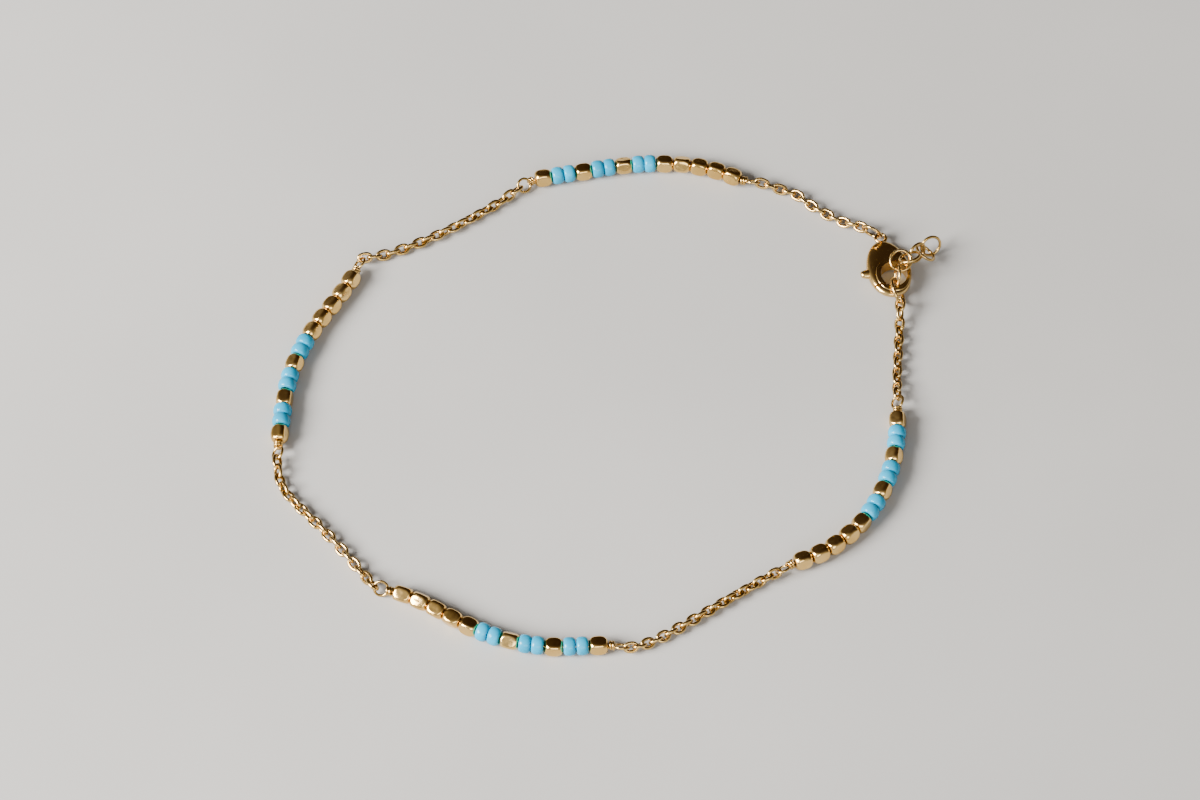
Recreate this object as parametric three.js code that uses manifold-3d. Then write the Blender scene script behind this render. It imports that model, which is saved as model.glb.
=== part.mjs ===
// Anklet: four bead stations on wrapped-loop wires, joined by fine cable chain and a lobster clasp.
// Millimetres, +Z up. The anklet lies closed on the plane z = 0, with its clasp at the far right.
import * as THREE from 'three';
import { mergeVertices } from 'three/addons/utils/BufferGeometryUtils.js';
import Module from 'manifold-3d';

const wasm = await Module();
wasm.setup();

// Beads
const GOLD = { length: 2.16, across: 1.94, corner: 0.46, bevel: 0.36, pitch: 2.26, hole: 0.42, neck: 0.7 };
const TURQUOISE = { length: 1.44, radius: 1.15, band: 0.8, sides: 10, pitch: 1.5, hole: 0.45 };
const RUN_BEADS = 5;
const PATTERN = ['run', 't', 't', 'g', 't', 't', 'g', 't', 't', 'g'];

// Station wire: a stem through the beads, a loop and a wrap at each end
const WIRE = { radius: 0.17, sides: 5, height: 1.06, stemSteps: 6 };
const LOOP = { radius: 0.87, centre: 1.63, fromDeg: 150, toDeg: -165, steps: 8 };
const WRAP = { radius: 0.46, from: 0.24, to: 0.74, turns: 1, steps: 6, bend: 0.6 };

// Chain links and jump rings: centreline half width, wire radius, and how deep neighbours are fused
const LINK = { halfWidth: 0.53, wire: 0.2, sides: 5, steps: 10, fuse: 0.025, clear: 0.09, floor: 0.03 };
const CHAIN_SETTLE = 3.5;
const TAIL_RING = { radius: 1.28, wire: 0.2, roll: 75, z: 1.45 };
const CATCH_RING = { radius: 1.7, wire: 0.23, roll: 63, z: 1.78, along: 9.05, side: 0.15, heading: 97 };

// Extender rings from the catch ring to the free end: place of the middle, and where the ring's axis points
const EXTENDER = { radius: 1.3, wire: 0.19 };
const EXTENDER_RINGS = [
  { x: 37.25, y: 17.35, z: 2.15, axisHeading: 182, axisRise: 18 },
  { x: 37.8, y: 19.05, z: 3.0, axisHeading: -93, axisRise: 65 },
  { x: 38.9, y: 19.4, z: 3.2, axisHeading: 124, axisRise: 55 },
  { x: 39.95, y: 20.75, z: 2.3, axisHeading: -49, axisRise: 15 },
  { x: 41.1, y: 21.3, z: 1.55, axisHeading: 29, axisRise: 51 },
  { x: 41.85, y: 22.4, z: 1.45, axisHeading: -65, axisRise: 23 },
];

// Clasp, along its own X from the tail eye to the hook, with Y towards the fixed arm
const CLASP = { x: 35.62, y: 24.02, z: 0.92, headingDeg: -80, tiltDeg: 3 };
const CLASP_STEPS = 16;
const EYE = { radius: 0.94, wire: 0.24 };
const BODY = { x: 5.1, y: -0.25, length: 9.0, width: 4.9, thick: 1.8, bevel: 0.22 };
const HOOK = { thinness: 0.56, thinFrom: 5.5, tip: 8.56 };
const OPENING = { x: 6.85, y: -0.1, length: 3.5, width: 3.1 };
const PIVOT = { x: 3.9, y: -1.35, pin: 0.3, pinSides: 6, hole: 0.45 };
const GATE = { from: 4.7, inner: -0.3 };
const SLOT = { half: 0.9, height: 1.16 };
const LEVER = { thick: 0.9, tip: 8.42, tipDrop: 0.1, root: 0.62, rootFrom: 60, rootTo: 240, steps: 4 };
const LEVER_INNER = [7.6, 6.85, 6.1, 5.5];
const LEVER_OUTER = [5.85, 6.8, 7.7];
const TAB = { reach: 3.85, from: 4.95, to: 5.75, flat: 0.2 };

// Bead stations in order round the anklet: place of the middle, heading at four even steps from the first
// bead to the last, heading and roll of the loops
const STATIONS = [
  {
    x: 4.92, y: 35.61, headings: [147.8, 176.2, 190.2, 189.8],
    startLoop: 171, startRoll: 45, endLoop: 216, endRoll: -45,
  },
  {
    x: -37.24, y: 6.49, headings: [248.3, 240.8, 259.4, 264.8],
    startLoop: 250, startRoll: 45, endLoop: 269, endRoll: 45,
  },
  {
    x: -12.44, y: -34.17, headings: [-15.1, -29.6, -8.4, 3.1],
    startLoop: -18, startRoll: 45, endLoop: -8, endRoll: -45,
  },
  {
    x: 33.35, y: -15.62, headings: [16.6, 47.4, 72.2, 87.9],
    startLoop: 33, startRoll: -45, endLoop: 88, endRoll: -45,
  },
];

// Chains in order round the anklet: links, roll of the first link and twist along the chain, headings and
// handle lengths at the two ends
const CHAINS = [
  { links: 13, roll: -30, twist: -15, leave: 151, leaveHandle: 13, arrive: 164, arriveHandle: 9 },
  { links: 19, roll: 45, twist: -90, leave: 220, leaveHandle: 4.3, arrive: 192, arriveHandle: 8 },
  { links: 18, roll: -45, twist: 90, leave: 273, leaveHandle: 6.3, arrive: 306, arriveHandle: 16 },
  { links: 20, roll: 45, twist: -90, leave: 5, leaveHandle: 3.6, arrive: 23, arriveHandle: 4.4 },
  { links: 12, roll: 45, twist: 15, leave: 90, leaveHandle: 4, arrive: 89, arriveHandle: 4 },
];

const GOLD_LOOK = { color: 0xc9974a, metalness: 1, roughness: 0.22 };
const TURQUOISE_LOOK = { color: 0x4fb9c9, metalness: 0, roughness: 0.25 };

const UP = new THREE.Vector3(0, 0, 1);
const radians = THREE.MathUtils.degToRad;
const headingVector = (deg) => new THREE.Vector3(Math.cos(radians(deg)), Math.sin(radians(deg)), 0);

// In-plane side direction of a link or loop that travels along `travel` and is rolled from lying flat
function rolledSide(travel, rollDeg) {
  const left = UP.clone().cross(travel).normalize();
  const lift = travel.clone().cross(left).normalize();
  return left.multiplyScalar(Math.cos(radians(rollDeg))).addScaledVector(lift, Math.sin(radians(rollDeg)));
}

// Closed surface through rings of equal count. Loose ends are capped, or the last ring meets the first.
function skin(rings, closed) {
  const count = rings[0].length;
  const positions = rings.flat().flatMap((p) => [p.x, p.y, p.z]);
  const index = [];
  const bands = closed ? rings.length : rings.length - 1;
  for (let i = 0; i < bands; i += 1) {
    const next = (i + 1) % rings.length;
    for (let j = 0; j < count; j += 1) {
      const k = (j + 1) % count;
      index.push(i * count + j, next * count + j, next * count + k);
      index.push(i * count + j, next * count + k, i * count + k);
    }
  }
  const last = (rings.length - 1) * count;
  for (let j = 1; !closed && j < count - 1; j += 1) {
    index.push(0, j, j + 1, last, last + j + 1, last + j);
  }
  return outward(positions, index);
}

// Geometry whose faces point out, whichever way its triangles were wound
function outward(positions, index) {
  const at = (i) => new THREE.Vector3(positions[3 * i], positions[3 * i + 1], positions[3 * i + 2]);
  let volume = 0;
  for (let i = 0; i < index.length; i += 3) {
    volume += at(index[i]).dot(at(index[i + 1]).cross(at(index[i + 2])));
  }
  const wound = volume > 0 ? index : index.slice().reverse();
  const geometry = new THREE.BufferGeometry();
  geometry.setAttribute('position', new THREE.Float32BufferAttribute(positions, 3));
  geometry.setIndex(wound);
  return geometry;
}

function toSolid(geometry) {
  const bare = geometry.clone();
  bare.deleteAttribute('normal');
  bare.deleteAttribute('uv');
  const merged = mergeVertices(bare);
  return new wasm.Manifold(new wasm.Mesh({
    numProp: 3,
    vertProperties: new Float32Array(merged.attributes.position.array),
    triVerts: new Uint32Array(merged.index.array),
  }));
}

function toGeometry(solid) {
  const mesh = solid.getMesh();
  return outward(Array.from(mesh.vertProperties), Array.from(mesh.triVerts));
}

// Oval of wire in the XY plane, long along X. One corner of the wire's section points to the middle, and
// the two ends are straight steps, so that neighbours cross ridge on ridge.
function wireOval(radius, wire, stretch) {
  const { sides, steps } = LINK;
  const rings = [];
  for (let i = 0; i < steps; i += 1) {
    const turn = (2 * Math.PI * (i + 0.5)) / steps;
    const shift = Math.abs(Math.cos(turn)) < 1e-6 ? 0 : Math.sign(Math.cos(turn)) * stretch;
    const ring = [];
    for (let j = 0; j < sides; j += 1) {
      const around = Math.PI + (2 * Math.PI * j) / sides;
      const reach = radius + wire * Math.cos(around);
      const x = reach * Math.cos(turn) + shift;
      ring.push(new THREE.Vector3(x, reach * Math.sin(turn), wire * Math.sin(around)));
    }
    rings.push(ring);
  }
  return skin(rings, true);
}

// Matrix that lays an oval with its X along `travel` and its Y along `side`, centred at `centre`
function layFlat(centre, travel, side) {
  const normal = travel.clone().cross(side);
  return new THREE.Matrix4().makeBasis(travel, side, normal).setPosition(centre);
}

// Tube of equal sections along a line of points, its frame carried along without twist
function tube(points, radius, sides) {
  const tangents = points.map((p, i) => {
    const ahead = points[Math.min(i + 1, points.length - 1)];
    const behind = points[Math.max(i - 1, 0)];
    return ahead.clone().sub(behind).normalize();
  });
  let normal = UP.clone().addScaledVector(tangents[0], -UP.dot(tangents[0])).normalize();
  const rings = points.map((p, i) => {
    normal = normal.clone().addScaledVector(tangents[i], -normal.dot(tangents[i])).normalize();
    const binormal = tangents[i].clone().cross(normal);
    return Array.from({ length: sides }, (_, j) => {
      const around = (2 * Math.PI * j) / sides;
      return p.clone()
        .addScaledVector(normal, radius * Math.cos(around))
        .addScaledVector(binormal, radius * Math.sin(around));
    });
  });
  return skin(rings, false);
}

// Bead stations

const STATION_LENGTH = PATTERN.reduce(
  (sum, kind) => sum + (kind === 't' ? TURQUOISE.pitch : GOLD.pitch * (kind === 'run' ? RUN_BEADS : 1)),
  0,
);
const HALF = STATION_LENGTH / 2;

// Heading at distance s from the middle: the cubic through the station's four headings
function stationHeading(station, s) {
  const knots = [-1, -1 / 3, 1 / 3, 1];
  return station.headings.reduce((sum, heading, i) => {
    const others = knots.filter((_, j) => j !== i);
    const weight = others.reduce((w, knot) => (w * (s / HALF - knot)) / (knots[i] - knot), 1);
    return sum + heading * weight;
  }, 0);
}

// Point at distance s from the middle, by walking along the heading
function stationPoint(station, s) {
  const steps = 40;
  const point = new THREE.Vector3(station.x, station.y, 0);
  for (let i = 0; i < steps; i += 1) {
    point.addScaledVector(headingVector(stationHeading(station, (s * (i + 0.5)) / steps)), s / steps);
  }
  return point;
}

// Eight corners of a square with cut corners, in the plane across `along`, scaled from its middle
function goldSection(centre, along, scale) {
  const half = (GOLD.across / 2) * scale;
  const flat = half - GOLD.corner * scale;
  const left = UP.clone().cross(along);
  const corners = [[half, flat], [flat, half], [-flat, half], [-half, flat],
    [-half, -flat], [-flat, -half], [flat, -half], [half, -flat]];
  return corners.map(([u, v]) => centre.clone().addScaledVector(left, u).addScaledVector(UP, v));
}

// One gold bead or a fused run of them: drilled, flat on four sides, bevelled to its ends and necks
function goldBeads(count, pointAt, headingAt) {
  const holeScale = GOLD.hole / (GOLD.across / 2);
  const section = (s, scale) => goldSection(pointAt(s), headingVector(headingAt(s)), scale);
  const end = ((count - 1) * GOLD.pitch + GOLD.length) / 2;
  const rings = [section(-end, holeScale)];
  for (let i = 0; i < count; i += 1) {
    const middle = (i - (count - 1) / 2) * GOLD.pitch;
    if (i > 0) {
      rings.push(section(middle - GOLD.pitch / 2, GOLD.neck));
    }
    rings.push(section(middle - GOLD.length / 2 + GOLD.bevel, 1));
    rings.push(section(middle + GOLD.length / 2 - GOLD.bevel, 1));
  }
  rings.push(section(end, holeScale));
  for (let i = count - 2; i > 1; i -= 1) {
    rings.push(section((i - count / 2) * GOLD.pitch, holeScale));
  }
  return skin(rings, true);
}

const alongX = (d) => new THREE.Vector3(d, 0, 0);

// Turquoise seed bead along X: a drilled drum whose ends slope from the hole to the belly
function turquoiseBead() {
  const profile = [
    [-TURQUOISE.length / 2, TURQUOISE.hole],
    [-TURQUOISE.band / 2, TURQUOISE.radius],
    [TURQUOISE.band / 2, TURQUOISE.radius],
    [TURQUOISE.length / 2, TURQUOISE.hole],
  ];
  const rings = profile.map(([x, r]) => Array.from({ length: TURQUOISE.sides }, (_, j) => {
    const around = (2 * Math.PI * j) / TURQUOISE.sides;
    return new THREE.Vector3(x, r * Math.sin(around), -r * Math.cos(around));
  }));
  return skin(rings, true);
}

// End of a station wire: base at the bead's face, pointing out, with the loop's travel along the route
function wireEnd(station, atStart) {
  const travel = headingVector(atStart ? station.startLoop : station.endLoop);
  const side = rolledSide(travel, atStart ? station.startRoll : station.endRoll);
  const out = travel.clone().multiplyScalar(atStart ? -1 : 1);
  const base = stationPoint(station, atStart ? -HALF : HALF).setZ(WIRE.height);
  const across = out.clone().cross(side);
  const place = (x, u, v) => base.clone()
    .addScaledVector(out, x)
    .addScaledVector(side, u)
    .addScaledVector(across, v);
  const points = [];
  for (let i = 0; i <= WRAP.steps; i += 1) {
    const t = i / WRAP.steps;
    const turn = 2 * Math.PI * WRAP.turns * (t - 1);
    const x = WRAP.from + (WRAP.to - WRAP.from) * t;
    points.push(place(x, WRAP.radius * Math.cos(turn), WRAP.radius * Math.sin(turn)));
  }
  for (let i = 0; i <= LOOP.steps; i += 1) {
    const turn = radians(LOOP.fromDeg + ((LOOP.toDeg - LOOP.fromDeg) * i) / LOOP.steps);
    points.push(place(LOOP.centre + LOOP.radius * Math.cos(turn), LOOP.radius * Math.sin(turn), 0));
  }
  points.push(place(WRAP.bend, 0, 0));
  return { points, apex: place(LOOP.centre + LOOP.radius, 0, 0), wire: WIRE.radius };
}

function stationWire(station) {
  const stem = [];
  for (let i = 0; i <= WIRE.stemSteps; i += 1) {
    stem.push(stationPoint(station, HALF * ((2 * i) / WIRE.stemSteps - 1)).setZ(WIRE.height));
  }
  const points = [...wireEnd(station, true).points, ...stem, ...wireEnd(station, false).points.reverse()];
  return tube(points, WIRE.radius, WIRE.sides);
}

// Chains

// Height of a chain's middle line where its links, a quarter turn apart, stand on the floor
function chainHeight(rollDeg) {
  const reach = Math.max(Math.abs(Math.sin(radians(rollDeg))), Math.abs(Math.cos(radians(rollDeg))));
  return LINK.floor + LINK.wire + LINK.halfWidth * reach;
}

// Route of a chain between two loop ends: a plane curve that settles from the loops down to the floor
function chainRoute(start, finish, chain) {
  const from = start.apex;
  const to = finish.apex;
  const curve = new THREE.CubicBezierCurve3(
    from,
    from.clone().addScaledVector(headingVector(chain.leave), chain.leaveHandle),
    to.clone().addScaledVector(headingVector(chain.arrive), -chain.arriveHandle),
    to,
  );
  const length = curve.getLength();
  const rollAt = (d) => chain.roll + chain.twist * THREE.MathUtils.clamp(d / length, 0, 1);
  const pointAt = (d) => {
    const point = curve.getPointAt(THREE.MathUtils.clamp(d / length, 0, 1));
    const nearStart = 1 - THREE.MathUtils.smoothstep(d, 0, CHAIN_SETTLE);
    const nearEnd = THREE.MathUtils.smoothstep(d, length - CHAIN_SETTLE, length);
    const rest = chainHeight(rollAt(d));
    return point.setZ(rest + (from.z - rest) * nearStart + (to.z - rest) * nearEnd);
  };
  return { length, pointAt, rollAt };
}

// Fused cable chain: links turned a quarter about each other, with loop wire inside the first and last
function chainSolid(start, finish, chain) {
  const route = chainRoute(start, finish, chain);
  const seat = start.wire + LINK.clear;
  const reach = route.length + seat + finish.wire + LINK.clear;
  const pitch = (reach + LINK.fuse) / chain.links;
  const inner = pitch - LINK.fuse;
  const stretch = inner / 2 - (LINK.halfWidth - LINK.wire) * Math.cos(Math.PI / LINK.steps);
  const link = wireOval(LINK.halfWidth, LINK.wire, stretch);
  let solid = null;
  for (let i = 0; i < chain.links; i += 1) {
    const d = inner / 2 - seat + i * pitch;
    const centre = route.pointAt(d);
    const travel = route.pointAt(d + pitch / 2).sub(route.pointAt(d - pitch / 2)).normalize();
    const side = rolledSide(travel, route.rollAt(d) + (i % 2) * 90);
    const placed = toSolid(link.clone().applyMatrix4(layFlat(centre, travel, side)));
    solid = solid ? solid.add(placed) : placed;
  }
  return toGeometry(solid);
}

// Rings

function ringSolid(ring, centre, travel, rollDeg) {
  const oval = wireOval(ring.radius, ring.wire, 0);
  return oval.applyMatrix4(layFlat(centre, travel, rolledSide(travel, rollDeg)));
}

// Extender ring about its own axis
function extenderRing(place) {
  const axis = headingVector(place.axisHeading)
    .multiplyScalar(Math.cos(radians(place.axisRise)))
    .addScaledVector(UP, Math.sin(radians(place.axisRise)));
  const travel = UP.clone().cross(axis).normalize();
  const centre = new THREE.Vector3(place.x, place.y, place.z);
  const side = axis.clone().cross(travel);
  return wireOval(EXTENDER.radius, EXTENDER.wire, 0).applyMatrix4(layFlat(centre, travel, side));
}

// Clasp

const claspHeading = headingVector(CLASP.headingDeg);
const claspSide = UP.clone().cross(claspHeading);
const claspPlan = (along, side) => new THREE.Vector3(CLASP.x, CLASP.y, 0)
  .addScaledVector(claspHeading, along)
  .addScaledVector(claspSide, side);

// Corners of an oval, grown or shrunk by `grow`, at a height that is thinned towards the hook
function ovalRing(oval, grow, height) {
  return Array.from({ length: CLASP_STEPS }, (_, i) => {
    const turn = (2 * Math.PI * i) / CLASP_STEPS;
    const x = oval.x + (oval.length / 2 + grow) * Math.cos(turn);
    const y = oval.y + (oval.width / 2 + grow) * Math.sin(turn);
    const thin = THREE.MathUtils.smoothstep(x, HOOK.thinFrom, BODY.x + BODY.length / 2);
    return new THREE.Vector3(x, y, height * (1 - (1 - HOOK.thinness) * thin));
  });
}

function block(x0, x1, y0, y1, height) {
  const box = new THREE.BoxGeometry(x1 - x0, y1 - y0, height);
  return toSolid(box.translate((x0 + x1) / 2, (y0 + y1) / 2, 0));
}

// Oval plate with the hook's opening, thinned towards the hook, with a tail eye, a gap for the gate,
// a slot for the lever's root and the pin that crosses it
function claspBody() {
  const edge = BODY.thick / 2 - BODY.bevel;
  const plate = skin([
    ovalRing(BODY, -BODY.bevel, -BODY.thick / 2),
    ovalRing(BODY, 0, -edge),
    ovalRing(BODY, 0, edge),
    ovalRing(BODY, -BODY.bevel, BODY.thick / 2),
    ovalRing(OPENING, BODY.bevel, BODY.thick / 2),
    ovalRing(OPENING, 0, edge),
    ovalRing(OPENING, 0, -edge),
    ovalRing(OPENING, BODY.bevel, -BODY.thick / 2),
  ], true);
  const farSide = BODY.y - BODY.width;
  const gate = block(GATE.from, HOOK.tip, farSide, GATE.inner, 2 * BODY.thick);
  const slot = block(PIVOT.x - SLOT.half, PIVOT.x + SLOT.half, farSide, PIVOT.y + SLOT.half, SLOT.height);
  const pin = new THREE.CylinderGeometry(PIVOT.pin, PIVOT.pin, 2 * edge, PIVOT.pinSides)
    .rotateX(Math.PI / 2)
    .translate(PIVOT.x, PIVOT.y, 0);
  return toGeometry(toSolid(plate)
    .add(toSolid(wireOval(EYE.radius, EYE.wire, 0)))
    .subtract(gate)
    .subtract(slot)
    .add(toSolid(pin)));
}

// Edge of an oval on the gate's side, at x along the clasp
function gateSide(oval, x) {
  const reach = (x - oval.x) / (oval.length / 2);
  return oval.y - (oval.width / 2) * Math.sqrt(1 - reach ** 2);
}

// Lever: a round root on the pin, a gate that follows the body's oval to the hook's tip, a thumb tab
function claspLever() {
  const shape = new THREE.Shape();
  shape.moveTo(LEVER.tip, gateSide(OPENING, LEVER.tip) - LEVER.tipDrop);
  LEVER_INNER.forEach((x) => shape.lineTo(x, gateSide(OPENING, x)));
  shape.absarc(PIVOT.x, PIVOT.y, LEVER.root, radians(LEVER.rootFrom), radians(LEVER.rootTo), false);
  shape.lineTo(TAB.from, gateSide(BODY, TAB.from));
  shape.lineTo(TAB.from + TAB.flat, -TAB.reach);
  shape.lineTo(TAB.to - TAB.flat, -TAB.reach);
  LEVER_OUTER.forEach((x) => shape.lineTo(x, gateSide(BODY, x)));
  shape.lineTo(LEVER.tip, gateSide(BODY, LEVER.tip));
  shape.holes.push(new THREE.Path().absarc(PIVOT.x, PIVOT.y, PIVOT.hole, 0, 2 * Math.PI, true));
  const extrusion = { depth: LEVER.thick, bevelEnabled: false, curveSegments: LEVER.steps };
  return new THREE.ExtrudeGeometry(shape, extrusion).translate(0, 0, -LEVER.thick / 2);
}

// Assembly

const anklet = new THREE.Group();
anklet.name = 'anklet';

function addPiece(parent, name, geometry, look) {
  const mesh = new THREE.Mesh(geometry, new THREE.MeshStandardMaterial(look));
  mesh.name = name;
  parent.add(mesh);
  return mesh;
}

function addStation(station, number) {
  const prefix = `station_${number}`;
  const counts = { t: 0, g: 0 };
  let s = -HALF;
  PATTERN.forEach((kind) => {
    const span = kind === 't' ? TURQUOISE.pitch : GOLD.pitch * (kind === 'run' ? RUN_BEADS : 1);
    const middle = s + span / 2;
    s += span;
    if (kind === 'run') {
      const pointAt = (d) => stationPoint(station, middle + d).setZ(GOLD.across / 2);
      const run = goldBeads(RUN_BEADS, pointAt, (d) => stationHeading(station, middle + d));
      addPiece(anklet, `${prefix}_gold_run`, run, GOLD_LOOK);
      return;
    }
    counts[kind] += 1;
    const bead = kind === 't'
      ? addPiece(anklet, `${prefix}_turquoise_${counts.t}`, turquoiseBead(), TURQUOISE_LOOK)
      : addPiece(anklet, `${prefix}_gold_${counts.g}`, goldBeads(1, alongX, () => 0), GOLD_LOOK);
    const height = kind === 't' ? TURQUOISE.radius : GOLD.across / 2;
    bead.position.copy(stationPoint(station, middle)).setZ(height);
    bead.rotation.z = radians(stationHeading(station, middle));
  });
  addPiece(anklet, `${prefix}_wire`, stationWire(station), GOLD_LOOK);
}

STATIONS.forEach((station, i) => addStation(station, i + 1));

const tailTravel = headingVector(CHAINS[0].leave);
const tailCentre = claspPlan(0, 0).setZ(TAIL_RING.z).addScaledVector(tailTravel, TAIL_RING.radius);
addPiece(anklet, 'tail_ring', ringSolid(TAIL_RING, tailCentre, tailTravel, TAIL_RING.roll), GOLD_LOOK);

const catchTravel = headingVector(CATCH_RING.heading);
const catchCentre = claspPlan(CATCH_RING.along, CATCH_RING.side).setZ(CATCH_RING.z);
addPiece(anklet, 'catch_ring', ringSolid(CATCH_RING, catchCentre, catchTravel, CATCH_RING.roll), GOLD_LOOK);

EXTENDER_RINGS.forEach((place, i) => {
  addPiece(anklet, `extender_ring_${i + 1}`, extenderRing(place), GOLD_LOOK);
});

const ringEnd = (ring, centre, travel, reach) => ({
  apex: centre.clone().addScaledVector(travel, reach),
  wire: ring.wire,
});
const chainEnds = [
  ringEnd(TAIL_RING, tailCentre, tailTravel, TAIL_RING.radius),
  ...STATIONS.flatMap((station) => [wireEnd(station, true), wireEnd(station, false)]),
  ringEnd(CATCH_RING, catchCentre, catchTravel, -CATCH_RING.radius),
];
CHAINS.forEach((chain, i) => {
  addPiece(anklet, `chain_${i + 1}`, chainSolid(chainEnds[2 * i], chainEnds[2 * i + 1], chain), GOLD_LOOK);
});

const clasp = new THREE.Group();
clasp.position.set(CLASP.x, CLASP.y, CLASP.z);
clasp.rotation.set(0, -radians(CLASP.tiltDeg), radians(CLASP.headingDeg), 'ZYX');
anklet.add(clasp);
addPiece(clasp, 'clasp_body', claspBody(), GOLD_LOOK);
addPiece(clasp, 'clasp_lever', claspLever(), GOLD_LOOK);

// Origin at the middle of the underside
const bounds = new THREE.Box3().setFromObject(anklet, true);
const middle = bounds.getCenter(new THREE.Vector3());
anklet.position.set(-middle.x, -middle.y, -bounds.min.z);

export default anklet;
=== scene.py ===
import math

import bpy
import numpy as np
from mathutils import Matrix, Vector


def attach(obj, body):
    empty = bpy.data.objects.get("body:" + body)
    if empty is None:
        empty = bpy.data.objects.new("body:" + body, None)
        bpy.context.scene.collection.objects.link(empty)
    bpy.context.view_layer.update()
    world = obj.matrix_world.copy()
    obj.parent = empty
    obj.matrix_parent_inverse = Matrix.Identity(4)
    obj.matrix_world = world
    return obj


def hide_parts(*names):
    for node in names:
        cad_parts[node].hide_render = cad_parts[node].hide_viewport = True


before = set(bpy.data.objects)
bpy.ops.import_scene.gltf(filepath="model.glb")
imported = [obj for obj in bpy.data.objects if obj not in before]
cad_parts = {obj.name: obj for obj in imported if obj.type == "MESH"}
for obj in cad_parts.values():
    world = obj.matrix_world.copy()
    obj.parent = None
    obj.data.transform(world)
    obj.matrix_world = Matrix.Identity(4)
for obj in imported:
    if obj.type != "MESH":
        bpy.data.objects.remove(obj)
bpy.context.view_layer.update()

# Layout in millimetres on the plane that the anklet lies on. ORIGIN is the layout's zero in the frame.
ORIGIN = np.array([-1.5151, -0.0865, 0.0])
MM = 0.001
UP = np.array([0.0, 0.0, 1.0])

GOLD = {"length": 2.16, "half": 0.95, "belly": 1.17, "end": 1.16, "pitch": 2.26, "hole": 0.38,
        "squareness": 8.0, "crispness": 22.0, "crown": 0.05}
TURQUOISE = {"length": 1.48, "radius": 1.15, "hole": 0.36, "pitch": 1.5, "roundness": 2.15}
RUN_BEADS = 5
PATTERN = ("run", "t", "t", "g", "t", "t", "g", "t", "t", "g")

WIRE = {"radius": 0.165, "height": 1.06}
LOOP = {"radius": 0.87, "centre": 1.63, "from": 165.0, "to": -170.0}
WRAP = {"radius": 0.43, "from": 0.12, "to": 0.84, "turns": 2.2}

LINK = {"half_width": 0.53, "wire": 0.215, "clear": 0.09, "fuse": 0.025, "floor": 0.03,
        "roundness": 2.25}
CHAIN_SETTLE = 3.5
TAIL_RING = {"radius": 1.28, "wire": 0.2, "roll": 75.0, "z": 1.45}
CATCH_RING = {"radius": 1.7, "wire": 0.23, "roll": 63.0, "z": 1.78,
              "along": 9.05, "side": 0.15, "heading": 97.0}
EXTENDER = {"radius": 1.3, "wire": 0.19}
# Half of the cut in a jump ring, in degrees
RING_CUT = 0.8
# Middle of each extender ring, then the heading and rise of its axis
EXTENDER_RINGS = (
    (37.37, 17.37, 2.15, 182.0, 8.0),
    (37.8, 19.05, 3.0, -93.0, 65.0),
    (38.9, 19.4, 3.2, 124.0, 55.0),
    (39.95, 20.75, 2.3, -49.0, 15.0),
    (41.1, 21.3, 1.55, 29.0, 51.0),
    (41.85, 22.4, 1.45, -65.0, 23.0),
)

CLASP = {"x": 35.62, "y": 24.02, "z": 0.92, "heading": -80.0, "tilt": 3.0}
EYE = {"radius": 0.66, "wire": 0.2}
BODY = {"x": 5.05, "y": -0.17, "length": 8.9, "width": 5.5, "swell": 0.1, "thick": 1.8}
HOOK = {"thinness": 0.56, "thin_from": 5.5, "tip": 7.85}
OPENING = {"x": 6.45, "y": 0.24, "length": 3.6, "width": 3.36, "swell": 0.0}
RIM = {"width": 0.75, "share": 0.72, "foot": 0.86, "lean": 0.03}
PIVOT = {"x": 3.9, "y": -1.35, "pin": 0.3, "head": 0.8}
GATE = {"arc": 1.3, "body_from": 38.0, "lever_from": 27.0, "to": -62.0, "gap": 0.07,
        "tip_gaps": 3.0, "depth": 2.0}
TAB = {"x": 5.42, "lean": -0.12, "from": -2.5, "to": -3.76, "half": 0.76, "rise": 0.6,
       "taper": 0.55}

# Middle, headings at four even steps, then heading and roll of the first loop and of the last
STATIONS = (
    ((4.92, 35.61), (147.8, 176.2, 190.2, 189.8), (171.0, 45.0), (216.0, -45.0)),
    ((-37.24, 6.49), (248.3, 240.8, 259.4, 264.8), (250.0, 45.0), (269.0, 45.0)),
    ((-12.44, -34.17), (-15.1, -29.6, -8.4, 3.1), (-18.0, 45.0), (-8.0, -45.0)),
    ((33.35, -15.62), (16.6, 47.4, 72.2, 87.9), (33.0, -45.0), (88.0, -45.0)),
)
# Links, roll of the first and twist along the chain, then heading and handle length at each end
CHAINS = (
    (13, -30.0, -15.0, (151.0, 13.0), (164.0, 9.0)),
    (19, 45.0, -90.0, (220.0, 4.3), (192.0, 8.0)),
    (18, -45.0, 90.0, (273.0, 6.3), (306.0, 16.0)),
    (20, 45.0, -90.0, (5.0, 3.6), (23.0, 4.4)),
    (12, 45.0, 15.0, (90.0, 4.0), (89.0, 4.0)),
)
# Roll of each gold bead on its wire, five in the run and then three on their own
BEAD_ROLLS = (
    (25.0, 22.0, 20.0, 34.0, 15.0, 28.0, 10.0, 20.0),
    (26.0, 31.0, 22.0, 28.0, 31.0, 26.0, 9.0, 23.0),
    (30.0, 34.0, 23.0, 13.0, -13.0, 38.0, -6.0, -12.0),
    (-19.0, -16.0, -14.0, -24.0, -7.0, -25.0, -31.0, -22.0),
)

random = np.random.default_rng(7)


# Vectors and frames

def heading_vector(deg):
    """Unit vector in the plane at a heading in degrees."""
    turn = np.radians(deg)
    return np.stack([np.cos(turn), np.sin(turn), np.zeros_like(turn)], -1)


def unit(vectors):
    """Vectors divided by their own lengths."""
    return vectors / np.linalg.norm(vectors, axis=-1, keepdims=True)


def rolled_side(travel, roll):
    """Side direction of a flat loop that runs along travel and is rolled up from lying flat."""
    left = unit(np.cross(UP, travel))
    lift = np.cross(travel, left)
    roll = np.radians(roll)[..., None]
    return left * np.cos(roll) + lift * np.sin(roll)


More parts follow.
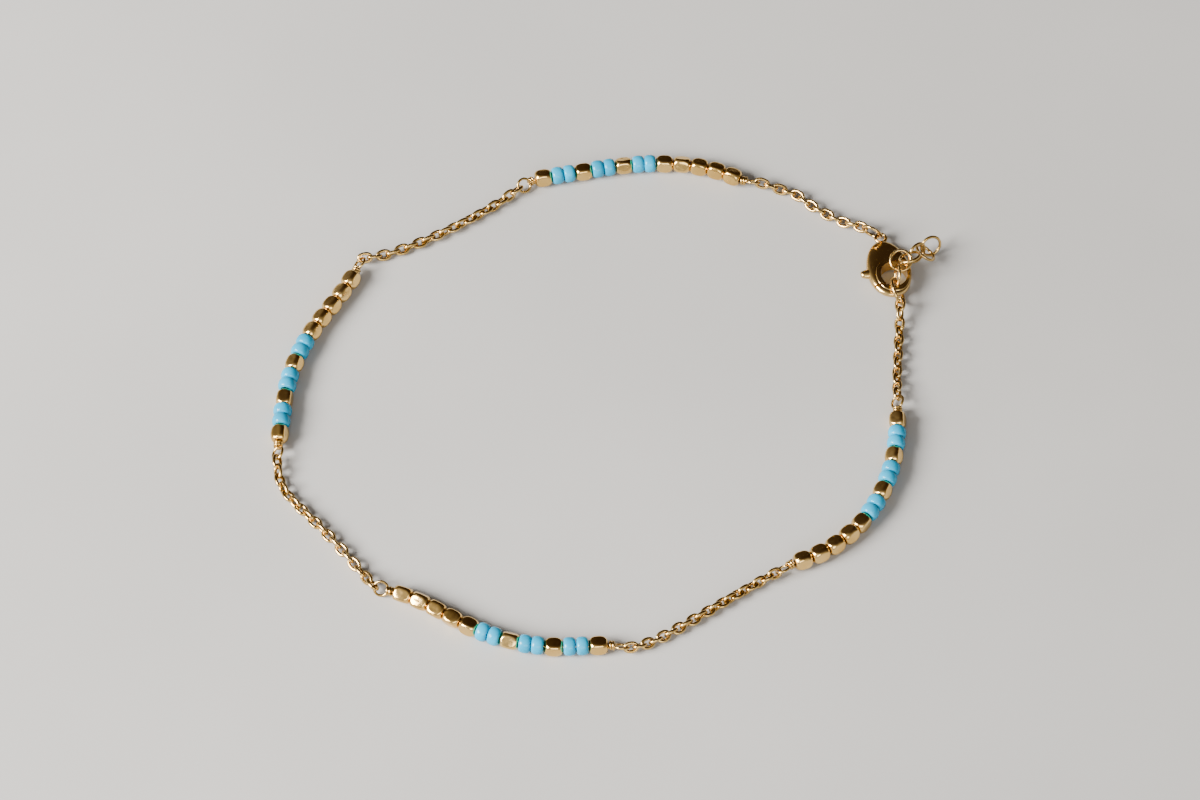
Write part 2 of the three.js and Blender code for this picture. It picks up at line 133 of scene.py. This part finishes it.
def smooth_step(x, low, high):
    """Rise from 0 at low to 1 at high, level at both: three times the square less twice the cube."""
    t = np.clip((x - low) / (high - low), 0.0, 1.0)
    return t * t * (3.0 - 2.0 * t)


def squared(wave, power):
    """A cosine or sine pushed towards the corners: its sign times its size to the power 2 over `power`."""
    return np.sign(wave) * np.abs(wave) ** (2.0 / power)


# Meshes

def make_piece(name, sheets, material, body, nodes, sharp=40.0):
    """One object from point grids in layout millimetres. A grid's columns close on themselves, and its
    rows close too or end in flat caps."""
    points, faces, base = [], [], 0
    for grid, closed in sheets:
        rows, cols = grid.shape[:2]
        index = base + np.arange(rows * cols).reshape(rows, cols)
        here = index if closed else index[:-1]
        there = np.roll(index, -1, 0) if closed else index[1:]
        quads = np.stack([here, np.roll(here, -1, 1), np.roll(there, -1, 1), there], -1)
        faces += quads.reshape(-1, 4).tolist()
        if not closed:
            faces += [index[0][::-1].tolist(), index[-1].tolist()]
        points.append(grid.reshape(-1, 3))
        base += rows * cols
    mesh = bpy.data.meshes.new(name)
    mesh.from_pydata(((np.concatenate(points) + ORIGIN) * MM).tolist(), [], faces)
    return finish_piece(name, mesh, material, body, nodes, sharp)


def finish_piece(name, mesh, material, body, nodes, sharp):
    """Smooth shading with sharp edges past an angle, a material, and the piece's place in the frame."""
    mesh.shade_smooth()
    mesh.set_sharp_from_angle(angle=math.radians(sharp))
    mesh.materials.append(material)
    piece = bpy.data.objects.new(name, mesh)
    bpy.context.scene.collection.objects.link(piece)
    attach(piece, body)
    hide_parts(*nodes)
    return piece


def tube(line, reference, radius, sides):
    """Round wire: circles of one radius about a line, across its tangent. The reference vectors are never
    along the line, and fix where each circle starts."""
    tangent = unit(np.gradient(line, axis=0))
    normal = unit(reference - tangent * np.sum(reference * tangent, -1, keepdims=True))
    binormal = np.cross(tangent, normal)
    turn = 2.0 * np.pi * np.arange(sides) / sides
    circle = normal[:, None] * np.cos(turn)[:, None] + binormal[:, None] * np.sin(turn)[:, None]
    return line[:, None] + radius * circle


# Materials

def new_material(name):
    """A node material, with its nodes, links and shader."""
    material = bpy.data.materials.new(name)
    material.use_nodes = True
    nodes = material.node_tree.nodes
    return material, nodes, material.node_tree.links, nodes["Principled BSDF"]


def noise(nodes, links, scale, detail):
    """Noise on Object coordinates, with `scale` waves to the metre."""
    place = nodes.new("ShaderNodeTexCoord")
    texture = nodes.new("ShaderNodeTexNoise")
    texture.inputs["Scale"].default_value = scale
    texture.inputs["Detail"].default_value = detail
    links.new(place.outputs["Object"], texture.inputs["Vector"])
    return texture.outputs["Fac"]


def ramp(nodes, links, value, stops):
    """Colours laid over a value, as (position, colour) stops."""
    band = nodes.new("ShaderNodeValToRGB")
    band.color_ramp.elements[0].position, band.color_ramp.elements[0].color = stops[0]
    band.color_ramp.elements[1].position, band.color_ramp.elements[1].color = stops[-1]
    for position, colour in stops[1:-1]:
        band.color_ramp.elements.new(position).color = colour
    links.new(value, band.inputs["Fac"])
    return band.outputs["Color"]


def spread(nodes, links, value, low, high):
    """A value from 0.3 to 0.7 stretched to run from low to high."""
    stretch = nodes.new("ShaderNodeMapRange")
    stretch.inputs["From Min"].default_value = 0.3
    stretch.inputs["From Max"].default_value = 0.7
    stretch.inputs["To Min"].default_value = low
    stretch.inputs["To Max"].default_value = high
    links.new(value, stretch.inputs["Value"])
    return stretch.outputs["Result"]


def bump(nodes, links, shader, height, strength, distance):
    """A fine relief on a shader, from a height."""
    node = nodes.new("ShaderNodeBump")
    node.inputs["Strength"].default_value = strength
    node.inputs["Distance"].default_value = distance
    links.new(height, node.inputs["Height"])
    links.new(node.outputs["Normal"], shader.inputs["Normal"])


def gold_finish(name, deep, light, rough, ripple):
    """Polished yellow gold: a faint drift of tone, soft handling marks in the gloss and a ripple."""
    material, nodes, links, shader = new_material(name)
    shader.inputs["Metallic"].default_value = 1.0
    drift = noise(nodes, links, 260.0, 3.0)
    links.new(ramp(nodes, links, drift, ((0.35, deep), (0.65, light))), shader.inputs["Base Color"])
    marks = noise(nodes, links, 2400.0, 4.0)
    links.new(spread(nodes, links, marks, *rough), shader.inputs["Roughness"])
    bump(nodes, links, shader, noise(nodes, links, 900.0, 1.0), ripple, 0.00012)
    return material


def turquoise_finish():
    """Opaque pressed glass: bead to bead drift of tone, a glossy skin and a faint ripple."""
    material, nodes, links, shader = new_material("turquoise_glass")
    drift = noise(nodes, links, 420.0, 2.0)
    tones = ((0.3, (0.001, 0.255, 0.435, 1.0)), (0.5, (0.0015, 0.30, 0.51, 1.0)),
             (0.7, (0.002, 0.345, 0.58, 1.0)))
    links.new(ramp(nodes, links, drift, tones), shader.inputs["Base Color"])
    links.new(spread(nodes, links, noise(nodes, links, 1800.0, 3.0), 0.12, 0.26), shader.inputs["Roughness"])
    shader.inputs["Specular IOR Level"].default_value = 0.32
    bump(nodes, links, shader, noise(nodes, links, 900.0, 2.0), 0.1, 0.00005)
    return material


bead_gold = gold_finish("bead_gold", (0.72, 0.45, 0.13, 1.0), (0.82, 0.56, 0.21, 1.0), (0.1, 0.2), 0.55)
# Gold for the wires, rings and chains: the bead gold with a darker colour, painted shade that stands in for
# dimmer reflections on the thin wire
shaded_wire_gold = gold_finish("shaded_wire_gold", (0.56, 0.36, 0.11, 1.0), (0.66, 0.45, 0.17, 1.0), (0.12, 0.24), 0.1)
clasp_gold = gold_finish("clasp_gold", (0.66, 0.43, 0.14, 1.0), (0.76, 0.52, 0.20, 1.0), (0.12, 0.22), 0.12)
turquoise_glass = turquoise_finish()


# Beads

def bead_spans():
    """Kind and middle of each bead along a station, from the first loop to the last."""
    kinds = [kind for entry in PATTERN for kind in (("g",) * RUN_BEADS if entry == "run" else (entry,))]
    pitch = np.array([TURQUOISE["pitch"] if kind == "t" else GOLD["pitch"] for kind in kinds])
    ends = np.cumsum(pitch)
    return kinds, ends - pitch / 2.0 - ends[-1] / 2.0, ends[-1] / 2.0


BEAD_KINDS, BEAD_MIDDLES, HALF = bead_spans()


def station_heading(station, s):
    """Heading at distance s from the middle: the cubic through the station's four headings."""
    knots = np.array([-1.0, -1.0 / 3.0, 1.0 / 3.0, 1.0])
    gap = np.asarray(s)[..., None] / HALF - knots
    weights = [np.prod(np.delete(gap, i, -1), -1) / np.prod(np.delete(knots[i] - knots, i)) for i in range(4)]
    return np.tensordot(np.array(station[1]), np.stack(weights), 1)


def station_point(station, s):
    """Point at distance s from the middle: the heading summed along a fine walk from end to end."""
    walk = np.linspace(-HALF - 1.0, HALF + 1.0, 2001)
    step = heading_vector(station_heading(station, walk))[:, :2]
    line = np.concatenate([np.zeros((1, 2)), np.cumsum((step[1:] + step[:-1]) / 2.0, 0) * (walk[1] - walk[0])])
    line += np.array(station[0]) - line[1000]
    s = np.asarray(s)
    return np.stack([np.interp(s, walk, line[:, 0]), np.interp(s, walk, line[:, 1]), np.zeros_like(s)], -1)


def gold_bead():
    """Four-sided nugget on its thread line. The radius at x and at a turn about x is a soft minimum of two
    shapes: a barrel that narrows to both ends, and a square bar, so the bar's flats end in rounded outlines.
    The first and last rows close the ends in to the hole, and go back through it."""
    end = 0.5 * GOLD["length"]
    x = end * np.sin(np.linspace(-0.5, 0.5, 38) * np.pi)
    barrel = GOLD["belly"] * (1.0 - np.abs(x / (GOLD["end"] * end)) ** 2.5) ** 0.4
    turn = 2.0 * np.pi * (np.arange(88) + 0.5) / 88.0
    power, crisp = GOLD["squareness"], GOLD["crispness"]
    bar = GOLD["half"] / (np.abs(np.cos(turn)) ** power + np.abs(np.sin(turn)) ** power) ** (1.0 / power)
    crown = 1.0 - GOLD["crown"] * (x / end) ** 2.0
    reach = (barrel[:, None] ** -crisp + (bar * crown[:, None]) ** -crisp) ** (-1.0 / crisp)
    lip = np.array([0.93, 0.75]) * reach[-1].min()
    ring = np.concatenate([lip, [GOLD["hole"], GOLD["hole"]]])[:, None] * np.ones_like(turn)
    ahead = np.array([end + 0.025, end + 0.04, end + 0.02, 0.5 * end])
    x = np.concatenate([-ahead[::-1], x, ahead])
    reach = np.concatenate([ring[::-1], reach, ring])
    return np.stack([np.broadcast_to(x[:, None], reach.shape), reach * np.cos(turn), reach * np.sin(turn)], -1)


def turquoise_bead():
    """Seed bead on its thread line: a ring whose section is a squared oval between the hole and the belly."""
    belly = (TURQUOISE["radius"] - TURQUOISE["hole"]) / 2.0
    around = 2.0 * np.pi * np.arange(32) / 32.0
    x = -0.5 * TURQUOISE["length"] * squared(np.cos(around), TURQUOISE["roundness"])
    reach = TURQUOISE["hole"] + belly * (1.0 + squared(np.sin(around), TURQUOISE["roundness"]))
    turn = 2.0 * np.pi * np.arange(44) / 44.0
    y = reach[:, None] * np.cos(turn)
    z = reach[:, None] * np.sin(turn)
    return np.stack([np.broadcast_to(x[:, None], y.shape), y, z], -1)


def seat_bead(grid, station, middle, height, roll):
    """A bead's grid rolled about its thread line, turned to the station's heading and set at its middle."""
    roll = math.radians(roll)
    y = grid[..., 1] * math.cos(roll) - grid[..., 2] * math.sin(roll)
    z = grid[..., 1] * math.sin(roll) + grid[..., 2] * math.cos(roll)
    along = heading_vector(station_heading(station, middle))
    left = np.cross(UP, along)
    place = station_point(station, middle) + UP * height
    return place + grid[..., :1] * along + y[..., None] * left + z[..., None] * UP


gold_grid = gold_bead()
turquoise_grid = turquoise_bead()


def dress_station(number, station):
    """The gold run, the single gold beads and the turquoise beads of one station."""
    run, counts = [], {"g": 0, "t": 0}
    for kind, middle in zip(BEAD_KINDS, BEAD_MIDDLES):
        counts[kind] += 1
        if kind == "t":
            grid = turquoise_grid * random.uniform((0.95, 0.975, 0.975), (1.0, 1.0, 1.0))
            grid = seat_bead(grid, station, middle, TURQUOISE["radius"], 0.0)
            node = f"station_{number}_turquoise_{counts['t']}"
            make_piece(node + "_bead", [(grid, True)], turquoise_glass, "anklet", [node])
            continue
        roll = BEAD_ROLLS[number - 1][counts["g"] - 1]
        grid = gold_grid * random.uniform((0.97, 0.98, 0.98), (1.0, 1.01, 1.01))
        grid = seat_bead(grid, station, middle, 0.0, roll)
        grid = grid - UP * grid[..., 2].min()
        if counts["g"] <= RUN_BEADS:
            run.append((grid, True))
            continue
        node = f"station_{number}_gold_{counts['g'] - RUN_BEADS}"
        make_piece(node + "_bead", [(grid, True)], bead_gold, "anklet", [node])
    node = f"station_{number}_gold_run"
    make_piece(node + "_beads", run, bead_gold, "anklet", [node])


# Wires

def wire_end(station, first):
    """Wrapped loop at one end of a station: a helix about the thread line, then a round loop beyond it.
    Gives the helix, the loop, their references and the loop's far point."""
    heading, roll = station[2] if first else station[3]
    travel = heading_vector(heading)
    side = rolled_side(travel, np.array(roll))
    out = -travel if first else travel
    across = np.cross(out, side)
    base = station_point(station, -HALF if first else HALF) + UP * WIRE["height"]
    t = np.linspace(0.0, 1.0, 52)[:, None]
    turn = 2.0 * np.pi * WRAP["turns"] * (t - 1.0)
    coil = base + out * (WRAP["from"] + (WRAP["to"] - WRAP["from"]) * t)
    coil = coil + WRAP["radius"] * (side * np.cos(turn) + across * np.sin(turn))
    turn = np.radians(np.linspace(LOOP["from"], LOOP["to"], 56))[:, None]
    loop = base + out * (LOOP["centre"] + LOOP["radius"] * np.cos(turn)) + side * LOOP["radius"] * np.sin(turn)
    neck = np.linspace(loop[-1], base + out * WRAP["from"], 6)[1:]
    loop = np.concatenate([loop, neck])
    apex = base + out * (LOOP["centre"] + LOOP["radius"])
    return (coil, out), (loop, across), apex


def dress_wire(number, station):
    """Stem through the beads, and the wrapped loop at each end."""
    stem = station_point(station, np.linspace(-HALF, HALF, 60)) + UP * WIRE["height"]
    sheets = [(tube(stem, UP, WIRE["radius"], 12), False)]
    for first in (True, False):
        for line, reference in wire_end(station, first)[:2]:
            sheets.append((tube(line, np.broadcast_to(reference, line.shape), WIRE["radius"], 12), False))
    node = f"station_{number}_wire"
    make_piece(node + "_wrapped", sheets, shaded_wire_gold, "anklet", [node])


# Chains and rings

def chain_route(start, finish, chain):
    """Length, and the point and roll at a distance, of a chain: a Bezier curve in plan by its arc length,
    with a height that settles from its ends to where its links stand on the floor."""
    handles = heading_vector(np.array([chain[3][0], chain[4][0]]))
    ends = np.stack([start, start + handles[0] * chain[3][1], finish - handles[1] * chain[4][1], finish])
    t = np.linspace(0.0, 1.0, 1201)[:, None]
    weights = np.concatenate([(1 - t) ** 3, 3 * t * (1 - t) ** 2, 3 * t * t * (1 - t), t ** 3], 1)
    line = weights @ ends
    run = np.concatenate([[0.0], np.cumsum(np.linalg.norm(np.diff(line, axis=0), axis=1))])
    length = run[-1]

    def roll_at(d):
        return chain[1] + chain[2] * np.clip(d / length, 0.0, 1.0)

    def point_at(d):
        plan = [np.interp(d, run, line[:, 0]), np.interp(d, run, line[:, 1])]
        roll = np.radians(roll_at(d))
        reach = np.maximum(np.abs(np.sin(roll)), np.abs(np.cos(roll)))
        rest = LINK["floor"] + LINK["wire"] + LINK["half_width"] * reach
        near = 1.0 - smooth_step(d, 0.0, CHAIN_SETTLE)
        far = smooth_step(d, length - CHAIN_SETTLE, length)
        return np.stack(plan + [rest + (start[2] - rest) * near + (finish[2] - rest) * far], -1)

    return length, point_at, roll_at


def chain_links(start, finish, chain):
    """Oval wire links in a row, each turned a quarter from the last. A link's line is a squared circle
    stretched along the chain, and a circle of wire is carried round it."""
    (from_apex, from_wire), (to_apex, to_wire) = start, finish
    length, point_at, roll_at = chain_route(from_apex, to_apex, chain)
    seat = from_wire + LINK["clear"]
    pitch = (length + seat + to_wire + LINK["clear"] + LINK["fuse"]) / chain[0]
    d = (pitch - LINK["fuse"]) / 2.0 - seat + np.arange(chain[0]) * pitch
    travel = unit(point_at(d + pitch / 2.0) - point_at(d - pitch / 2.0))
    side = rolled_side(travel, roll_at(d) + 90.0 * (np.arange(chain[0]) % 2))
    normal = np.cross(travel, side)
    turn = 2.0 * np.pi * np.arange(30) / 30.0
    half = pitch / 2.0 + LINK["wire"]
    x = half * squared(np.cos(turn), LINK["roundness"])
    y = LINK["half_width"] * squared(np.sin(turn), LINK["roundness"])
    outward = unit(np.stack([x / half ** 2, y / LINK["half_width"] ** 2], -1))
    around = 2.0 * np.pi * np.arange(10) / 10.0
    reach = LINK["wire"] * np.cos(around)
    plan = np.stack([x, y], -1)[:, None] + outward[:, None] * reach[:, None]
    lift = np.broadcast_to(-LINK["wire"] * np.sin(around), plan.shape[:2])
    grid = point_at(d)[:, None, None] + plan[None, ..., :1] * travel[:, None, None]
    return grid + plan[None, ..., 1:] * side[:, None, None] + lift[None, ..., None] * normal[:, None, None]


def jump_ring(centre, travel, side, ring):
    """Round wire bent into a circle that all but closes, with the cut at its side."""
    turn = np.radians(np.linspace(90.0 + RING_CUT, 450.0 - RING_CUT, 73))[:, None]
    line = centre + ring["radius"] * (travel * np.cos(turn) + side * np.sin(turn))
    return tube(line, np.broadcast_to(np.cross(travel, side), line.shape), ring["wire"], 12)


def clasp_plan(along, side):
    """Point on the floor at distances along the clasp from its eye and to its left."""
    along_axis = heading_vector(CLASP["heading"])
    return np.array([CLASP["x"], CLASP["y"], 0.0]) + along_axis * along + np.cross(UP, along_axis) * side


def dress_rings():
    """Tail ring, catch ring and extender rings. Gives the far points where the first and last chain hook in."""
    tail_travel = heading_vector(CHAINS[0][3][0])
    tail = clasp_plan(0.0, 0.0) + UP * TAIL_RING["z"] + tail_travel * TAIL_RING["radius"]
    side = rolled_side(tail_travel, np.array(TAIL_RING["roll"]))
    make_piece("tail_ring_wire", [(jump_ring(tail, tail_travel, side, TAIL_RING), False)], shaded_wire_gold,
               "anklet", ["tail_ring"])
    catch_travel = heading_vector(CATCH_RING["heading"])
    catch = clasp_plan(CATCH_RING["along"], CATCH_RING["side"]) + UP * CATCH_RING["z"]
    side = rolled_side(catch_travel, np.array(CATCH_RING["roll"]))
    make_piece("catch_ring_wire", [(jump_ring(catch, catch_travel, side, CATCH_RING), False)], shaded_wire_gold,
               "anklet", ["catch_ring"])
    for number, (x, y, z, heading, rise) in enumerate(EXTENDER_RINGS, 1):
        axis = heading_vector(heading) * math.cos(math.radians(rise)) + UP * math.sin(math.radians(rise))
        travel = unit(np.cross(UP, axis))
        ring = jump_ring(np.array([x, y, z]), travel, np.cross(axis, travel), EXTENDER)
        make_piece(f"extender_ring_{number}_wire", [(ring, False)], shaded_wire_gold, "anklet",
                   [f"extender_ring_{number}"])
    return tail + tail_travel * TAIL_RING["radius"], catch - catch_travel * CATCH_RING["radius"]


# Clasp

def seat_clasp(points):
    """Clasp points, along its own X from the eye to the hook, turned and tilted to where it lies."""
    heading, tilt = math.radians(CLASP["heading"]), math.radians(CLASP["tilt"])
    along = np.array([math.cos(tilt) * math.cos(heading), math.cos(tilt) * math.sin(heading), math.sin(tilt)])
    side = np.array([-math.sin(heading), math.cos(heading), 0.0])
    axes = np.stack([along, side, np.cross(along, side)])
    return points @ axes + np.array([CLASP["x"], CLASP["y"], CLASP["z"]])


def oval(shape, turn):
    """Oval about a point, fuller towards the hook by the swell."""
    fuller = 1.0 + shape["swell"] * np.cos(turn)
    return np.stack([shape["x"] + shape["length"] / 2.0 * np.cos(turn),
                     shape["y"] + shape["width"] / 2.0 * np.sin(turn) * fuller], -1)


def clasp_section():
    """Section of the clasp from its outer edge to the opening, as share of the dome, millimetres across the
    rim and share of the height: an oval rise, a step up to a flat rim, a bevel into the opening's wall, and
    the same again below."""
    rise = np.radians(np.linspace(0.0, 90.0, 18))
    dome = 1.0 - np.cos(rise)
    swell = RIM["foot"] * np.sin(rise) ** 0.8
    flat = np.array([0.05, 0.1, 0.25, 0.5, 0.75, 0.9, 1.0])
    top = np.array([0.75, 1.0, 1.0, 1.0, 1.0, 0.98, 0.84])
    top = RIM["foot"] + (1.0 - RIM["foot"]) * top - RIM["lean"] * flat
    wall = np.linspace(1.0, -1.0, 7)[1:-1] * top[-1]
    dome = np.concatenate([dome, np.ones(flat.shape)])
    rim = np.concatenate([np.zeros(rise.shape), flat])
    height = np.concatenate([swell, top])
    dome = np.concatenate([dome, np.ones(wall.shape), dome[:0:-1]])
    rim = np.concatenate([rim, np.ones(wall.shape), rim[:0:-1]])
    return dome, rim, np.concatenate([height, wall, -height[:0:-1]])


def clasp_shell():
    """Domed shell between the body's oval and the opening's oval: at each angle the section runs from one
    to the other, its rim a set width about the opening, and its height is thinned towards the hook."""
    turn = 2.0 * np.pi * np.arange(160) / 160.0
    outer, inner = oval(BODY, turn), oval(OPENING, turn)
    width = np.linalg.norm(inner - outer, axis=-1)
    edge = (1.0 - np.minimum(RIM["share"], RIM["width"] / width))[:, None]
    dome, rim, height = clasp_section()
    share = dome * edge + rim * (1.0 - edge)
    plan = outer[:, None] + (inner - outer)[:, None] * share[..., None]
    thin = smooth_step(plan[..., 0], HOOK["thin_from"], BODY["x"] + BODY["length"] / 2.0)
    top = BODY["thick"] / 2.0 * (1.0 - (1.0 - HOOK["thinness"]) * thin) * height
    return np.concatenate([plan, -top[..., None]], -1)


def gate_prism(gap, start):
    """Straight-sided block over the gate: an arc about the pivot on one side, the hook's tip on the other.
    The arc runs from a start angle to the gate's end angle, measured from the clasp's line. The gap is left
    free along the arc, and a few gaps at the tip."""
    turn = np.radians(np.linspace(start, GATE["to"], 24))
    reach = GATE["arc"] + gap
    arc = np.stack([PIVOT["x"] + reach * np.cos(turn), PIVOT["y"] + reach * np.sin(turn)], -1)
    far = BODY["y"] - BODY["width"]
    tip = HOOK["tip"] - GATE["tip_gaps"] * gap
    ring = np.concatenate([arc, [[arc[-1, 0], far], [tip, far], [tip, arc[0, 1]]]])
    return np.stack([np.column_stack([ring, np.full(len(ring), z)]) for z in (-GATE["depth"], GATE["depth"])])


def bare_piece(name, grid, closed):
    """A clasp grid as an object, for cutting."""
    return make_piece(name, [(seat_clasp(grid), closed)], clasp_gold, "anklet", [])


def cut_mesh(shell, cutter, operation):
    """The shell cut by the cutter, as a new mesh."""
    cut = shell.modifiers.new(cutter.name, "BOOLEAN")
    cut.operation = operation
    cut.solver = "EXACT"
    cut.object = cutter
    bpy.context.view_layer.update()
    mesh = bpy.data.meshes.new_from_object(shell.evaluated_get(bpy.context.evaluated_depsgraph_get()))
    mesh.materials.clear()
    bpy.data.objects.remove(shell)
    bpy.data.objects.remove(cutter)
    return mesh


def lever_tab():
    """Thumb tab carried outwards from the gate: an oval that tapers, leans to the hook and is rounded off."""
    t = np.linspace(0.0, 1.0, 22)
    y = TAB["from"] + (TAB["to"] - TAB["from"]) * np.sin(t * np.pi / 2.0)
    middle = TAB["x"] + TAB["lean"] * t ** 2.0
    taper = (1.0 - TAB["taper"] * t) * np.sqrt(np.clip(1.0 - t ** 7.0, 0.02, 1.0))
    around = 2.0 * np.pi * np.arange(24) / 24.0
    x = middle[:, None] + TAB["half"] * taper[:, None] * np.cos(around)
    z = TAB["rise"] * taper[:, None] * np.sin(around)
    return np.stack([x, np.broadcast_to(y[:, None], x.shape), z], -1)


def pivot_pin():
    """Pin across the body: a round bar whose two heads are domed."""
    t = np.linspace(-1.0, 1.0, 21)
    reach = PIVOT["pin"] * np.sqrt(np.clip(1.0 - np.abs(t) ** 12, 0.01, 1.0))
    around = 2.0 * np.pi * np.arange(20) / 20.0
    x = PIVOT["x"] + reach[:, None] * np.cos(around)
    y = PIVOT["y"] + reach[:, None] * np.sin(around)
    return np.stack([x, y, np.broadcast_to(PIVOT["head"] * t[:, None], x.shape)], -1)


def tail_eye():
    """Ring of wire flat in the clasp's plane."""
    turn = 2.0 * np.pi * np.arange(56) / 56.0
    around = 2.0 * np.pi * np.arange(16) / 16.0
    reach = EYE["radius"] + EYE["wire"] * np.cos(around)
    x = reach * np.cos(turn)[:, None]
    y = reach * np.sin(turn)[:, None]
    return np.stack([x, y, np.broadcast_to(-EYE["wire"] * np.sin(around), x.shape)], -1)


def soften(piece):
    """Rounds off the cut edges of a piece."""
    edge = piece.modifiers.new("softened_edges", "BEVEL")
    edge.width = 0.05 * MM
    edge.segments = 2
    edge.limit_method = "ANGLE"
    edge.angle_limit = math.radians(52.0)


def dress_clasp():
    """Body with its eye and pin, and the lever with its tab."""
    shell = clasp_shell()
    cutter = bare_piece("gate", gate_prism(0.0, GATE["body_from"]), False)
    body = cut_mesh(bare_piece("shell", shell, True), cutter, "DIFFERENCE")
    cutter = bare_piece("gate", gate_prism(GATE["gap"], GATE["lever_from"]), False)
    gate = cut_mesh(bare_piece("shell", shell, True), cutter, "INTERSECT")
    soften(finish_piece("clasp_body_polished", body, clasp_gold, "anklet", ["clasp_body"], 40.0))
    soften(finish_piece("clasp_lever_polished", gate, clasp_gold, "lever", ["clasp_lever"], 40.0))
    details = [(seat_clasp(tail_eye()), True), (seat_clasp(pivot_pin()), False)]
    make_piece("clasp_eye_and_pin", details, clasp_gold, "anklet", [])
    make_piece("clasp_thumb_tab", [(seat_clasp(lever_tab()), False)], clasp_gold, "lever", [])


for number, station in enumerate(STATIONS, 1):
    dress_station(number, station)
    dress_wire(number, station)

tail_apex, catch_apex = dress_rings()
ends = [(tail_apex, TAIL_RING["wire"])]
for station in STATIONS:
    ends += [(wire_end(station, True)[2], WIRE["radius"]), (wire_end(station, False)[2], WIRE["radius"])]
ends.append((catch_apex, CATCH_RING["wire"]))
for number, chain in enumerate(CHAINS, 1):
    links = chain_links(ends[2 * number - 2], ends[2 * number - 1], chain)
    make_piece(f"chain_{number}_links", [(grid, True) for grid in links], shaded_wire_gold, "anklet",
               [f"chain_{number}"])

dress_clasp()


# Floor, light and camera

def floor_finish():
    """Pale matt paper with a hardly seen drift of tone."""
    material, nodes, links, shader = new_material("pale_floor")
    drift = noise(nodes, links, 14.0, 4.0)
    tones = ((0.3, (0.40, 0.396, 0.388, 1.0)), (0.7, (0.45, 0.445, 0.437, 1.0)))
    links.new(ramp(nodes, links, drift, tones), shader.inputs["Base Color"])
    shader.inputs["Roughness"].default_value = 0.75
    shader.inputs["Specular IOR Level"].default_value = 0.25
    return material


floor_mesh = bpy.data.meshes.new("floor")
floor_mesh.from_pydata([(-2, -2, 0), (2, -2, 0), (2, 2, 0), (-2, 2, 0)], [], [(0, 1, 2, 3)])
floor_mesh.materials.append(floor_finish())
floor = bpy.data.objects.new("floor", floor_mesh)
bpy.context.scene.collection.objects.link(floor)


def soft_box(name, place, aim, size, power, colour):
    """Flat soft light at a place, turned to face a point."""
    light = bpy.data.lights.new(name, "AREA")
    light.shape = "RECTANGLE"
    light.size, light.size_y = size
    light.energy = power
    light.color = colour
    lamp = bpy.data.objects.new(name, light)
    bpy.context.scene.collection.objects.link(lamp)
    lamp.location = place
    lamp.rotation_euler = (Vector(aim) - Vector(place)).to_track_quat("-Z", "Y").to_euler()
    return lamp


soft_box("window_left", (-0.62, -0.22, 0.42), (0.0, 0.0, 0.0), (0.42, 0.36), 27.0, (1.0, 0.965, 0.92))
soft_box("front_fill", (0.1, -0.75, 0.5), (0.0, 0.0, 0.0), (0.7, 0.35), 4.0, (1.0, 0.98, 0.95))

world = bpy.data.worlds.new("studio")
bpy.context.scene.world = world
world.use_nodes = True
sky = world.node_tree
direction = sky.nodes.new("ShaderNodeTexCoord")
towards = sky.nodes.new("ShaderNodeVectorMath")
towards.operation = "DOT_PRODUCT"
towards.inputs[1].default_value = (0.4, 0.72, 0.57)
sky.links.new(direction.outputs["Generated"], towards.inputs[0])
shades = ((0.0, (0.95, 0.93, 0.90, 1.0)), (0.35, (0.45, 0.42, 0.38, 1.0)), (0.65, (0.14, 0.105, 0.075, 1.0)),
          (1.0, (0.045, 0.026, 0.014, 1.0)))
shade = ramp(sky.nodes, sky.links, towards.outputs["Value"], shades)
sky.links.new(shade, sky.nodes["Background"].inputs["Color"])
sky.nodes["Background"].inputs["Strength"].default_value = 0.7

# The view: 56.5 degrees above the floor, 444.4 mm from the layout's zero
ELEVATION = math.radians(56.5)
REACH = 0.4444
lens = bpy.data.cameras.new("view")
lens.lens = 108.0
lens.sensor_width = 36.0
lens.sensor_fit = "HORIZONTAL"
camera = bpy.data.objects.new("view", lens)
bpy.context.scene.collection.objects.link(camera)
camera.location = (ORIGIN[0] * MM, ORIGIN[1] * MM - REACH * math.cos(ELEVATION), REACH * math.sin(ELEVATION))
camera.rotation_euler = (math.pi / 2.0 - ELEVATION, 0.0, 0.0)
bpy.context.scene.camera = camera
